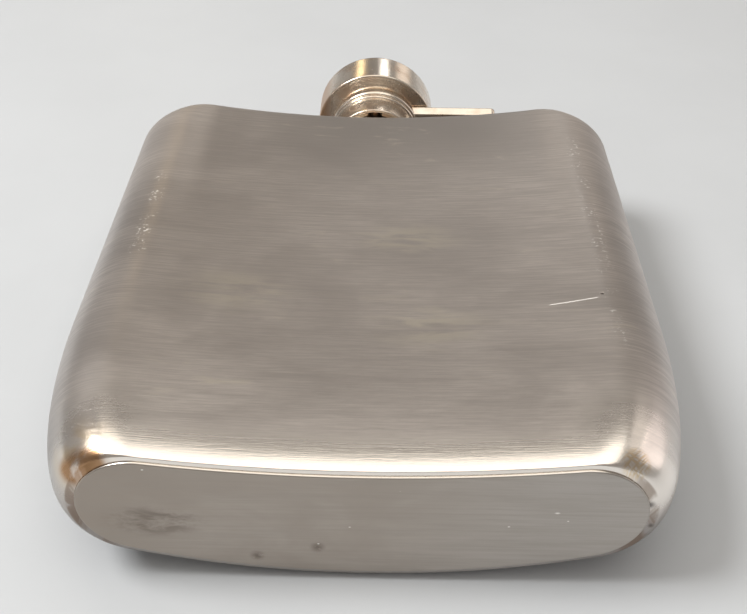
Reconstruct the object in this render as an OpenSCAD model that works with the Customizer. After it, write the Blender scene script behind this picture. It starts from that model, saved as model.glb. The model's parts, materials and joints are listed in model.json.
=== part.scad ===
// Curved metal hip flask with a captive bayonet cap on a hinged arm.
// The flask lies on its convex face: X across, Y from the base plate to the cap, Z up.
// The origin is under the middle of the whole flask, on the surface it lies on.

/* [Body] */
// Width across the widest part of the body
body_w = 88; // [80:1:100]
// Length from the base plate's face to the flat of the shoulder
body_l = 93; // [85:1:120]
// Thickness on the centre line
body_t = 21.4; // [20:0.2:24]
// Radius of the convex face
front_r = 116; // [105:1:140]
// Radius of the concave face
back_r = 210; // [180:1:260]
// Thickness of the sheet metal
wall = 0.8; // [0.6:0.1:1.2]

/* [Body edges] */
// Radius of the shoulder's two outer corners
shoulder_corner_r = 7.5; // [5:0.5:10]
// Radius of the rounding where a face meets the shoulder
shoulder_edge_r = 2.7; // [1.5:0.1:3]
// Length over which the body's sides curve in to the base
foot_len = 30; // [20:1:40]
// How far each side curves in at the base
foot_in = 6.8; // [4:0.2:9]
// How far each face curves in at the base
foot_face_in = 0.9; // [0.4:0.1:1.4]

/* [Base plate] */
// Width of the body's rim that shows around the plate
rim_w = 0.7; // [0.5:0.1:1]
// How far the plate stands out past the rim
plate_proud = 0.35; // [0.2:0.05:0.6]
// Thickness of the plate
plate_t = 1.1; // [0.9:0.1:1.6]

/* [Neck] */
// Outer radius of the neck tube
neck_r = 6.6; // [6.4:0.1:6.7]
// Radius of the pouring hole
mouth_r = 5.8; // [5.2:0.1:5.9]
// Height of the lip above the shoulder
neck_h = 10; // [9.6:0.1:10]
// Radius of the collar soldered round the foot of the neck
collar_r = 8; // [7.6:0.1:8.4]
// Thickness of the collar
collar_h = 1.2; // [0.8:0.1:1.6]
// Radius of each bayonet pin
lug_r = 1; // [0.8:0.1:1]
// Height of the bayonet pins above the shoulder
lug_h = 7; // [6.8:0.1:7.2]

/* [Cap] */
// Radius of the cap's grip
cap_r = 11.7; // [11.2:0.1:12.5]
// Height of the cap's crown above the shoulder
cap_top = 22.4; // [21:0.2:26]
// Height of the skirt's lower edge above the shoulder
skirt_bottom = 4; // [3.8:0.1:4.4]
// Inner radius of the bayonet sleeve
sleeve_ri = 7; // [6.95:0.05:7.05]
// How far the cap turns to lock
twist_deg = 60; // [45:5:75]

/* [Hinged arm] */
// Distance from the neck's axis to the hinge pin
hinge_x = 25.5; // [24:0.5:28]
// Height of the hinge pin above the shoulder
hinge_h = 6.4; // [6:0.1:6.8]
// Width of the arm where it leaves the swivel ring
arm_w = 10; // [8:0.5:12]
// Thickness of the arm's strap
arm_t = 1.5; // [1.2:0.1:1.6]
// Radius of the hinge pin
hinge_pin_r = 0.8; // [0.7:0.05:0.9]

/* [Hidden] */
$fn = 96;

// Places
total_l = body_l + cap_top;
base_y = -total_l / 2;
shoulder_y = base_y + body_l;
neck_z = cap_r;

// Kidney sections: a convex and a concave arc, closed by a tangent end circle on each side
half_w = body_w / 2;
face_steps = 24;
end_steps = 12;
foot_steps = 9;
shoulder_steps = 12;

// Neck and cap
lip_r = (neck_r - mouth_r) / 2;
neck_spigot = 2;
shell_hole_r = neck_r + 0.1;
lug_reach = 0.8;
sleeve_ro = sleeve_ri + 0.6;
skirt_ro = sleeve_ro + 0.6;
slot_play = 0.25;
slot_half_deg = asin((lug_r + 0.35) / sleeve_ri);
ring_play = 0.1;
ring_bottom = 9.9;
ring_h = 2;
ring_ri = sleeve_ro + 0.06;
ring_ro = 9;
bead_h = 0.8;
bead_top = ring_bottom - ring_play;
plate_bottom = ring_bottom + ring_h + ring_play;
underplate_t = 0.8;
cork_gap = 0.2;
cork_h = 3.2;
cork_r = sleeve_ri - 0.03;
sleeve_top = neck_h + cork_gap + cork_h;
backing_t = 0.8;
cap_wall = 0.7;
cap_edge_r = 1.3;
crown_rise = 1.1;

// Hinge
knuckle_r = 2;
knuckle_w = 5;
strap_corner_r = 1;
ear_w = 1.6;
ear_play = 0.1;
foot_t = 0.8;
foot_x = 8;
foot_y = 10.6;
foot_corner_r = 1.5;
pin_play = 0.05;
pin_head_r = 1.3;
pin_head_h = 0.6;
leg_t = 1.6;
elbow_r = 2;
ear_out = knuckle_w / 2 + ear_play + ear_w;

// ---------- curves ----------

// Points along an arc about [cx, cy], without its last point
function arc(cx, cy, r, from, to, steps) =
    [for (i = [0:steps - 1]) let (a = from + (to - from) * i / steps) [cx + r * cos(a), cy + r * sin(a)]];

// Radius of the end circle that touches both faces and reaches half-width a at thickness t
function end_radius(a, t) =
    let (gap = t + back_r - front_r,
         p = (t * t + 2 * t * back_r) / (2 * gap),
         q = (front_r + back_r) / gap,
         b = 2 * (front_r - a - (p - front_r) * q),
         c = a * a + (p - front_r) * (p - front_r) - front_r * front_r)
    (-b + sqrt(b * b - 4 * q * q * c)) / (2 * q * q);

// Height of that circle's centre above the convex face's lowest line
function end_height(a, t) =
    let (gap = t + back_r - front_r)
    ((t * t + 2 * t * back_r) / 2 - (front_r + back_r) * end_radius(a, t)) / gap;

// Closed kidney outline as [x, z] points: half-width a, faces at z0 and z1 on the centre line,
// moved inwards everywhere by inset
function kidney(a, z0, z1, inset = 0) =
    let (t = z1 - z0,
         re = end_radius(a, t),
         xe = a - re,
         ze = z0 + end_height(a, t),
         low = atan2(ze - z0 - front_r, xe),
         high = atan2(z1 + back_r - ze, -xe))
    concat(
        arc(0, z0 + front_r, front_r - inset, -180 - low, low, face_steps),
        arc(xe, ze, re - inset, low, high, end_steps),
        arc(0, z1 + back_r, back_r + inset, high - 180, -high, face_steps),
        arc(-xe, ze, re - inset, 180 - high, 180 - low, end_steps));

// Body stations as [distance from the rim, half-width, inset of each face]
function foot_station(u) =
    let (y = foot_len * (1 - cos(u)), v = min(1, 2 * y / foot_len))
    [y, half_w - foot_in * (1 - sin(u)), foot_face_in * (1 - sqrt(1 - (1 - v) * (1 - v)))];
function shoulder_station(u) =
    let (back = shoulder_corner_r * (1 - sin(u)), v = max(0, 1 - back / shoulder_edge_r))
    [shell_l - back, half_w - shoulder_corner_r * (1 - cos(u)), shoulder_edge_r * (1 - sqrt(1 - v * v))];
shell_l = body_l - plate_proud;
stations = concat(
    [for (i = [0:foot_steps]) foot_station(90 * i / foot_steps)],
    [for (i = [0:shoulder_steps]) shoulder_station(90 * i / shoulder_steps)]);

// ---------- shared shapes ----------

// Solid through all stations, moved inwards everywhere by inset
module body_loft(inset) {
    squeeze = (shell_l - 2 * inset) / shell_l;
    rings = [for (s = stations)
        [for (p = kidney(s[1], s[2], body_t - s[2], inset)) [p[0], inset + s[0] * squeeze, p[1]]]];
    n = len(rings[0]);
    m = len(rings);
    points = [for (r = rings) each r];
    sides = [for (j = [0:m - 2], i = [0:n - 1])
        let (k = (i + 1) % n) [j * n + i, j * n + k, (j + 1) * n + k, (j + 1) * n + i]];
    ends = [[for (i = [n - 1:-1:0]) i], [for (i = [0:n - 1]) (m - 1) * n + i]];
    translate([0, base_y + plate_proud, 0])
        polyhedron(points, concat(sides, ends), convexity = 4);
}

// Flat kidney plate of the rim's outline, moved inwards by inset, from y0 to y1 past the base
module base_prism(inset, y0, y1) {
    translate([0, base_y + y1, 0])
        rotate([90, 0, 0])
            linear_extrude(y1 - y0)
                polygon(kidney(half_w - foot_in, foot_face_in, body_t - foot_face_in, inset));
}

module at_neck() {
    translate([0, shoulder_y, neck_z]) rotate([-90, 0, 0]) children();
}

// Turned ring with a small chamfer on its top and bottom outer edges
module turned_ring(ri, ro, z0, z1, edge = 0.2) {
    rotate_extrude()
        if (edge > 0)
            polygon([[ri, z0], [ro - edge, z0], [ro, z0 + edge], [ro, z1 - edge], [ro - edge, z1], [ri, z1]]);
        else
            translate([ri, z0]) square([ro - ri, z1 - z0]);
}

// Upper or lower part of the shell, parted at the widest line of the sides
module half_shell(lower) {
    seam_z = end_height(half_w, body_t);
    span = 2 * total_l;
    intersection() {
        difference() {
            body_loft(0);
            body_loft(wall);
            base_prism(rim_w, -1, 2 * plate_t);
            at_neck() translate([0, 0, -3 * wall]) cylinder(r = shell_hole_r, h = 6 * wall);
        }
        translate([-span / 2, -span / 2, lower ? seam_z - span : seam_z]) cube(span);
    }
}

module hinge_profile_at(y0, y1) {
    translate([0, y1, 0]) rotate([90, 0, 0]) linear_extrude(y1 - y0) children();
}

// ---------- flask body ----------

module front_shell() {
    color("silver") half_shell(true);
}

module back_shell() {
    color("lightgray") half_shell(false);
}

module base_plate() {
    color("darkgray") base_prism(rim_w + 0.03, 0, plate_t);
}

module neck_collar() {
    color("silver") at_neck() turned_ring(neck_r, collar_r, 0, collar_h, 0.4);
}

// Tube with a lip rolled inwards, pierced for the bayonet pins
module neck_tube() {
    color("gainsboro") at_neck()
        difference() {
            rotate_extrude() {
                translate([mouth_r, -neck_spigot]) square([neck_r - mouth_r, neck_h + neck_spigot - lip_r]);
                translate([mouth_r + lip_r, neck_h - lip_r]) circle(lip_r);
            }
            bayonet_pin_pair(mouth_r - 1, neck_r + 1);
        }
}

module bayonet_pin_pair(from_r, to_r) {
    for (side = [-1, 1])
        translate([0, side * from_r, lug_h])
            rotate([-90 * side, 0, 0])
                cylinder(r = lug_r, h = to_r - from_r);
}

module bayonet_pins() {
    color("silver") at_neck()
        intersection() {
            bayonet_pin_pair(mouth_r + 0.3, neck_r + lug_reach);
            cylinder(r = neck_r + lug_reach, h = neck_h);
        }
}

// ---------- hinge ----------

module hinge_foot() {
    x = foot_x / 2 - foot_corner_r;
    y = foot_y / 2 - foot_corner_r;
    color("silver") at_neck()
        translate([hinge_x, 0, 0]) {
            translate([-x, -foot_y / 2, 0]) cube([2 * x, foot_y, foot_t]);
            translate([-foot_x / 2, -y, 0]) cube([foot_x, 2 * y, foot_t]);
            for (i = [-1, 1], j = [-1, 1])
                translate([i * x, j * y, 0]) cylinder(r = foot_corner_r, h = foot_t);
        }
}

module hinge_ears() {
    color("silver") at_neck()
        for (y = [-ear_out, ear_out - ear_w])
            hinge_profile_at(y, y + ear_w)
                difference() {
                    union() {
                        translate([hinge_x, hinge_h]) circle(knuckle_r);
                        translate([hinge_x - knuckle_r, foot_t])
                            square([2 * knuckle_r, hinge_h - foot_t]);
                    }
                    translate([hinge_x, hinge_h]) circle(hinge_pin_r);
                }
}

module hinge_pin() {
    color("gray") at_neck()
        translate([hinge_x, 0, hinge_h])
            rotate([90, 0, 0]) {
                translate([0, 0, -ear_out]) cylinder(r = hinge_pin_r, h = 2 * ear_out);
                for (side = [0, 1])
                    mirror([0, 0, side])
                        translate([0, 0, ear_out])
                            rotate_extrude()
                                polygon([[0, 0], [pin_head_r, 0], [pin_head_r * 0.8, pin_head_h * 0.7],
                                    [pin_head_r * 0.4, pin_head_h], [0, pin_head_h]]);
            }
}

// ---------- swinging arm ----------

module swivel_ring() {
    color("silver") at_neck() turned_ring(ring_ri, ring_ro, ring_bottom, ring_bottom + ring_h, 0.35);
}

// Flat strap, an elbow at its end, and a narrower leg down to the knuckle on the hinge pin
module hinge_arm() {
    strap_z = ring_bottom + (ring_h - arm_t) / 2;
    strap_top = strap_z + arm_t;
    outer_x = hinge_x + leg_t / 2;
    color("lightgray") at_neck()
        difference() {
            union() {
                translate([0, 0, strap_z])
                    linear_extrude(arm_t)
                        hull() {
                            translate([ring_ri, -arm_w / 2]) square([1, arm_w]);
                            for (side = [-1, 1])
                                translate([outer_x - elbow_r - strap_corner_r, side * (arm_w / 2 - strap_corner_r)])
                                    circle(strap_corner_r);
                        }
                hinge_profile_at(-knuckle_w / 2, knuckle_w / 2) {
                    intersection() {
                        difference() {
                            translate([outer_x - elbow_r, strap_top - elbow_r]) circle(elbow_r);
                            translate([outer_x - elbow_r, strap_top - elbow_r]) circle(elbow_r - arm_t);
                        }
                        translate([outer_x - elbow_r, strap_top - elbow_r]) square(elbow_r);
                    }
                    translate([outer_x - leg_t, hinge_h])
                        square([leg_t, strap_top - elbow_r - hinge_h]);
                    translate([hinge_x, hinge_h]) circle(knuckle_r);
                }
            }
            translate([0, 0, strap_z - 1]) cylinder(r = ring_ro, h = arm_t + 2);
            translate([hinge_x, 0, hinge_h])
                rotate([90, 0, 0]) cylinder(r = hinge_pin_r + pin_play, h = 2 * knuckle_w, center = true);
        }
}

// ---------- cap ----------

module cap_skirt() {
    color("silver") at_neck() turned_ring(sleeve_ro, skirt_ro, skirt_bottom, bead_top - bead_h, 0.2);
}

module cap_retaining_bead() {
    color("gainsboro") at_neck() turned_ring(sleeve_ro, skirt_ro + 0.4, bead_top - bead_h, bead_top, 0.3);
}

// Sleeve with two L-shaped slots: up from the edge, then round by the locking turn
module cap_bayonet_sleeve() {
    slot_low = lug_h - lug_r - slot_play;
    slot_high = lug_h + lug_r + slot_play;
    turn_half_deg = slot_half_deg + 1;
    color("darkgray") at_neck()
        difference() {
            turned_ring(sleeve_ri, sleeve_ro, skirt_bottom, sleeve_top, 0);
            for (side = [90, 270]) {
                sleeve_slot(side - slot_half_deg, side + slot_half_deg, skirt_bottom - 1, lug_h);
                sleeve_slot(side - twist_deg - turn_half_deg, side + turn_half_deg, slot_low, slot_high);
            }
        }
}

// Cut through the sleeve's wall between two angles and two heights
module sleeve_slot(from, to, low, high) {
    rotate(from)
        rotate_extrude(angle = to - from)
            translate([sleeve_ri - 1, low]) square([sleeve_ro - sleeve_ri + 2, high - low]);
}

module cap_underplate() {
    color("lightgray") at_neck()
        turned_ring(sleeve_ro, cap_r - cap_wall, plate_bottom, plate_bottom + underplate_t, 0.05);
}

// Drum with rounded edges and a shallow domed crown
module cap_shell() {
    edge_z = cap_top - crown_rise - cap_edge_r;
    dome_span = cap_r - cap_edge_r;
    dome_r = (dome_span * dome_span + crown_rise * crown_rise) / (2 * crown_rise);
    dome_deg = asin(dome_span / dome_r);
    outer = concat(
        [[cap_r - 0.4, plate_bottom], [cap_r, plate_bottom + 0.4]],
        arc(cap_r - cap_edge_r, edge_z, cap_edge_r, 0, 90 - dome_deg, 6),
        arc(0, cap_top - dome_r, dome_r, 90 - dome_deg, 90, 6),
        [[0, cap_top]]);
    inner = concat(
        [[0, cap_top - cap_wall]],
        [[dome_span, cap_top - crown_rise - cap_wall], [cap_r - cap_wall, edge_z - 0.2]],
        [[cap_r - cap_wall, plate_bottom]]);
    color("silver") at_neck() rotate_extrude() polygon(concat(outer, inner));
}

module cap_cork() {
    color("burlywood") at_neck()
        translate([0, 0, neck_h + cork_gap]) cylinder(r = cork_r, h = cork_h);
}

module cap_cork_backing() {
    color("darkgray") at_neck()
        translate([0, 0, sleeve_top]) cylinder(r = sleeve_ro, h = backing_t);
}

front_shell();
back_shell();
base_plate();
neck_collar();
neck_tube();
bayonet_pins();
hinge_foot();
hinge_ears();
hinge_pin();
swivel_ring();
hinge_arm();
cap_skirt();
cap_retaining_bead();
cap_bayonet_sleeve();
cap_underplate();
cap_shell();
cap_cork();
cap_cork_backing();
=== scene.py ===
"""Curved silver hip flask with a captive bayonet cap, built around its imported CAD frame.

The file is laid out as an add-on: sizes and finishes are properties, each piece or group of like
pieces has an operator, and a panel in the sidebar lists them. Run as a script it builds the scene.
"""

import json
import math

import bmesh
import bpy
import numpy as np
from bpy.props import FloatProperty, FloatVectorProperty, PointerProperty
from mathutils import Matrix, Vector


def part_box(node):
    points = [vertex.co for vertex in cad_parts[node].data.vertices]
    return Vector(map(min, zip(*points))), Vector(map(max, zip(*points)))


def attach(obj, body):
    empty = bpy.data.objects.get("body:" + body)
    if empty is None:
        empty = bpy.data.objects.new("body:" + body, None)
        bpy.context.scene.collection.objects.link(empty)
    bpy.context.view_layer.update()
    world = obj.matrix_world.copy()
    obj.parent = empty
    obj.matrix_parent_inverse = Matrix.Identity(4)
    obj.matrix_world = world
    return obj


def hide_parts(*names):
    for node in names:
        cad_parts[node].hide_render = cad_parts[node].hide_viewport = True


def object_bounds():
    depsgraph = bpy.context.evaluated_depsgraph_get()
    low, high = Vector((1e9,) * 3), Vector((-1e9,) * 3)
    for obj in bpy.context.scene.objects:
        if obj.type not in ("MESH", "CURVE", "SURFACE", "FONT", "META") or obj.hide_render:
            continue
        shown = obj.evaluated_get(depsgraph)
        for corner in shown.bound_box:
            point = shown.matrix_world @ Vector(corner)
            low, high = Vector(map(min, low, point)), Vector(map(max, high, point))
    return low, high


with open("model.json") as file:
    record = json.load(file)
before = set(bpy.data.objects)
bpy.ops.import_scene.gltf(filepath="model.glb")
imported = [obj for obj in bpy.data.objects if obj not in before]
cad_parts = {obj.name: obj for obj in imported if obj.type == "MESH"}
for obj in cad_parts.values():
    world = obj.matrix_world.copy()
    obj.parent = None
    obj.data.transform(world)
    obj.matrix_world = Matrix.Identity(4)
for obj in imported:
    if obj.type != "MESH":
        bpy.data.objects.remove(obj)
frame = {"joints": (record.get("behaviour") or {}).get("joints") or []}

bl_info = {
    "name": "Curved hip flask",
    "version": (1, 0, 0),
    "blender": (4, 5, 0),
    "location": "View3D > Sidebar > Flask",
    "description": "Builds a curved silver hip flask with a hinged bayonet cap",
    "category": "Add Mesh",
}

CAD_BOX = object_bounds()
MM = 0.001

# Where the frame puts the main parts
SHELL_LOW, SHELL_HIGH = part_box("front_shell")
PLATE_LOW, PLATE_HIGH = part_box("base_plate")
NECK_LOW, NECK_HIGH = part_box("neck_tube")
PIN_LOW, PIN_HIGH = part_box("hinge_pin")
CAP_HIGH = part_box("cap_shell")[1]
HALF_WIDTH = SHELL_HIGH.x
RIM_Y = SHELL_LOW.y
SHOULDER_Y = SHELL_HIGH.y
PLATE_Y = PLATE_LOW.y
NECK_Z = (NECK_LOW.z + NECK_HIGH.z) / 2
NECK_FRAME = Matrix.Translation((0, SHOULDER_Y, NECK_Z)) @ Matrix.Rotation(-math.pi / 2, 4, "X")
HINGE_X = (PIN_LOW.x + PIN_HIGH.x) / 2
HINGE_H = (PIN_LOW.y + PIN_HIGH.y) / 2 - SHOULDER_Y


# ---------------------------------------------------------------- sizes and finishes

def length(name, description, default):
    """A length property of the flask, in metres."""
    return FloatProperty(name=name, description=description, default=default, unit="LENGTH",
                         precision=5, min=0.0)


def tint(name, description, default):
    """A colour property, linear."""
    return FloatVectorProperty(name=name, description=description, default=default, subtype="COLOR",
                               size=3, min=0.0, max=1.0)


class FlaskBodySizes(bpy.types.PropertyGroup):
    """Sizes of the two shells and the base plate"""
    thickness: length("Thickness", "Between the two faces on the centre line", 21.4 * MM)
    front_radius: length("Convex radius", "Curve of the face the flask lies on", 116 * MM)
    back_radius: length("Concave radius", "Curve of the face that fits the hip", 210 * MM)
    sheet: length("Sheet", "Thickness of the metal", 0.8 * MM)
    corner: length("Shoulder corners", "Radius of the shoulder's two corners", 7.5 * MM)
    edge: length("Shoulder edge", "Rounding between each face and the shoulder", 2.7 * MM)
    foot_length: length("Foot length", "How far up the sides curve in to the base", 30 * MM)
    foot_side: length("Foot side", "How far each side curves in at the base", 6.8 * MM)
    foot_face: length("Foot face", "How far each face curves in at the base", 0.9 * MM)
    rim: length("Rim", "Width of the shell's rim around the base plate", 0.7 * MM)
    plate_edge: length("Plate edge", "Rounding of the base plate's edge", 0.22 * MM)
    dents: length("Waviness", "Depth of the shallow unevenness of old sheet metal", 0.035 * MM)


class FlaskNeckSizes(bpy.types.PropertyGroup):
    """Sizes of the neck, the hinge, the arm and the cap that the frame's boxes don't give"""
    mouth: length("Mouth", "Radius of the pouring hole", 5.8 * MM)
    collar_fillet: length("Collar fillet", "Solder fillet round the collar's foot", 0.35 * MM)
    sleeve_bore: length("Sleeve bore", "Inner radius of the bayonet sleeve", 7.0 * MM)
    skirt_bore: length("Skirt bore", "Inner radius of the cap's skirt", 7.6 * MM)
    ring_bore: length("Ring bore", "Inner radius of the swivel ring", 7.66 * MM)
    cap_wall: length("Cap wall", "Thickness of the cap's drum", 0.7 * MM)
    cap_edge: length("Cap edge", "Rounding between the cap's side and crown", 1.3 * MM)
    crown: length("Crown", "Rise of the cap's crown", 1.1 * MM)
    lug: length("Bayonet pin", "Radius of each bayonet pin", 1.0 * MM)
    lug_height: length("Bayonet height", "Height of the pins above the shoulder", 7.0 * MM)
    knuckle: length("Knuckle", "Radius of the hinge knuckle", 2.0 * MM)
    pin: length("Hinge pin", "Radius of the hinge pin", 0.8 * MM)
    leg: length("Leg", "Thickness of the arm's leg", 1.6 * MM)


class FlaskFinish(bpy.types.PropertyGroup):
    """Colours of the metal, the cork and the table"""
    satin: tint("Satin silver", "Brushed metal of the body", (0.655, 0.605, 0.57))
    bright: tint("Bright silver", "Polished metal of the cap and neck", (0.84, 0.765, 0.67))
    bare: tint("Bare metal", "Unplated metal of pins and sleeve", (0.62, 0.57, 0.49))
    tarnish: tint("Tarnish", "Brown film in corners and joints", (0.38, 0.20, 0.085))
    dirt: tint("Dirt", "Dark grime in pits and scratches", (0.045, 0.035, 0.03))
    cork: tint("Cork", "Light grain of the cork seal", (0.56, 0.36, 0.19))
    table: tint("Table", "Plain pale table top", (0.56, 0.585, 0.615))


# ---------------------------------------------------------------- material building

class Nodes:
    """A node tree, and the one way in which nodes are added to it."""

    def __init__(self, tree):
        self.tree = tree

    def node(self, kind, settings=None, numbered=(), **named):
        """Any node: its settings first, then the values or links of its sockets."""
        made = self.tree.nodes.new(kind)
        for key, value in (settings or {}).items():
            setattr(made, key, value)
        for key, value in (*numbered, *named.items()):
            self.feed(made, key.replace("_", " ") if isinstance(key, str) else key, value)
        return made

    def feed(self, node, key, value):
        """Links or sets one socket, found by its name or number."""
        if isinstance(value, Level):
            self.tree.links.new(value.socket, node.inputs[key])
        elif isinstance(value, bpy.types.NodeSocket):
            self.tree.links.new(value, node.inputs[key])
        else:
            node.inputs[key].default_value = value

    def place(self, kind="Object"):
        """The point's X, Y and Z in the flask's frame, as Levels in metres."""
        spot = self.node("ShaderNodeTexCoord").outputs[kind]
        parts = self.node("ShaderNodeSeparateXYZ", None, Vector=spot)
        return [Level(self, parts.outputs[axis]) for axis in "XYZ"]

    def mixed(self, amount, first, second):
        """A colour between two, each a tuple or another mix."""
        ends = [end if isinstance(end, bpy.types.NodeSocket) else (*end[:3], 1.0)
                for end in (first, second)]
        return self.node("ShaderNodeMix", {"data_type": "RGBA"},
                         ((0, amount), (6, ends[0]), (7, ends[1]))).outputs[2]

    def coated(self, colour, *coats):
        """A colour under further ones, each given as (how much of it shows, its colour)."""
        for amount, coat in coats:
            colour = self.mixed(amount, colour, coat)
        return colour


class Level:
    """A number that changes over a surface. Python's operators on it add Math nodes."""

    def __init__(self, nodes, socket):
        self.nodes = nodes
        self.socket = socket

    def maths(self, operation, *terms):
        """The result of one Math node; each term is a Level or a number."""
        made = self.nodes.node("ShaderNodeMath", {"operation": operation}, enumerate(terms))
        return Level(self.nodes, made.outputs[0])

    def __add__(self, other):
        return self.maths("ADD", self, other)

    __radd__ = __add__

    def __sub__(self, other):
        return self.maths("SUBTRACT", self, other)

    def __rsub__(self, other):
        return self.maths("SUBTRACT", other, self)

    def __mul__(self, other):
        return self.maths("MULTIPLY", self, other)

    __rmul__ = __mul__

    def __truediv__(self, other):
        return self.maths("DIVIDE", self, other)

    def __abs__(self):
        return self.maths("ABSOLUTE", self)

    def root(self):
        return self.maths("SQRT", self)

    def highest(self, other):
        return self.maths("MAXIMUM", self, other)

    def between(self, low, high):
        """0 at low, 1 at high, eased, and clamped outside; low may be the larger."""
        eased = {"interpolation_type": "SMOOTHSTEP", "clamp": True}
        made = self.nodes.node("ShaderNodeMapRange", eased, Value=self, From_Min=min(low, high),
                               From_Max=max(low, high))
        rising = Level(self.nodes, made.outputs["Result"])
        return rising if low < high else 1 - rising


class Finish(Nodes):
    """One material and the few kinds of texture that the flask's metals and cork need."""

    def __init__(self, name, **constants):
        self.material = bpy.data.materials.new(name)
        self.material.use_nodes = True
        super().__init__(self.material.node_tree)
        self.shader = self.tree.nodes["Principled BSDF"]
        for socket, value in constants.items():
            self.feed(self.shader, socket, value)

    def lay(self, scale, offset=(0, 0, 0)):
        """The surface's own lay, as (across, along, depth) in metres, stretched by scale."""
        lay = self.node("ShaderNodeAttribute", {"attribute_type": "GEOMETRY", "attribute_name": "lay"})
        return self.node("ShaderNodeMapping", None, Vector=lay.outputs["Vector"], Scale=scale,
                         Location=offset).outputs["Vector"]

    def noise(self, vector, detail=3.0, roughness=0.55, distortion=0.0):
        made = self.node("ShaderNodeTexNoise", {"noise_dimensions": "3D"}, Vector=vector, Scale=1.0,
                         Detail=detail, Roughness=roughness, Distortion=distortion)
        return Level(self, made.outputs["Fac"])

    def cells(self, vector):
        made = self.node("ShaderNodeTexVoronoi", {"feature": "F1"}, Vector=vector, Scale=1.0)
        return Level(self, made.outputs["Distance"])

    def scaled_place(self, scale, turn_deg=0.0):
        """The point's place stretched by scale, after a turn about Z."""
        spot = self.node("ShaderNodeTexCoord").outputs["Object"]
        turned = self.node("ShaderNodeMapping", {"vector_type": "POINT"}, Vector=spot,
                           Rotation=(0, 0, math.radians(turn_deg))).outputs["Vector"]
        return self.node("ShaderNodeMapping", None, Vector=turned, Scale=scale).outputs["Vector"]

    def finish(self, colour, roughness, height, depth, chalk=None):
        """Connects colour, roughness, a relief of the given depth in metres and any chalky marks."""
        bump = self.node("ShaderNodeBump", None, Height=height, Strength=1.0, Distance=depth)
        self.feed(self.shader, "Base Color", colour)
        self.feed(self.shader, "Roughness", roughness)
        self.feed(self.shader, "Normal", bump.outputs["Normal"])
        if chalk is not None:
            self.feed(self.shader, "Metallic", 1 - chalk)
        return self.material


def shaded(colour, factor):
    """The same colour, lighter or darker."""
    return tuple(min(1.0, part * factor) for part in colour[:3])


def near(spot, point, reach):
    """1 at a point in the flask's frame, falling to 0 at the given distance."""
    squares = [(part - centre) * (part - centre) for part, centre in zip(spot, point)]
    total = squares[0] + squares[1] + squares[2]
    return total.root().between(reach, 0.0)


def along_line(spot, start, end, half_width):
    """1 on a straight scratch between two (x, y) points, 0 beyond its half width and its ends."""
    run = Vector(end) - Vector(start)
    span = run.length
    run.normalize()
    dx, dy = spot[0] - start[0], spot[1] - start[1]
    down = dx * run.x + dy * run.y
    aside = abs(dy * run.x - dx * run.y)
    inside = abs(down - span / 2).between(span / 2, span / 2 - 0.6 * MM)
    return aside.between(half_width, half_width * 0.3) * inside


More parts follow.
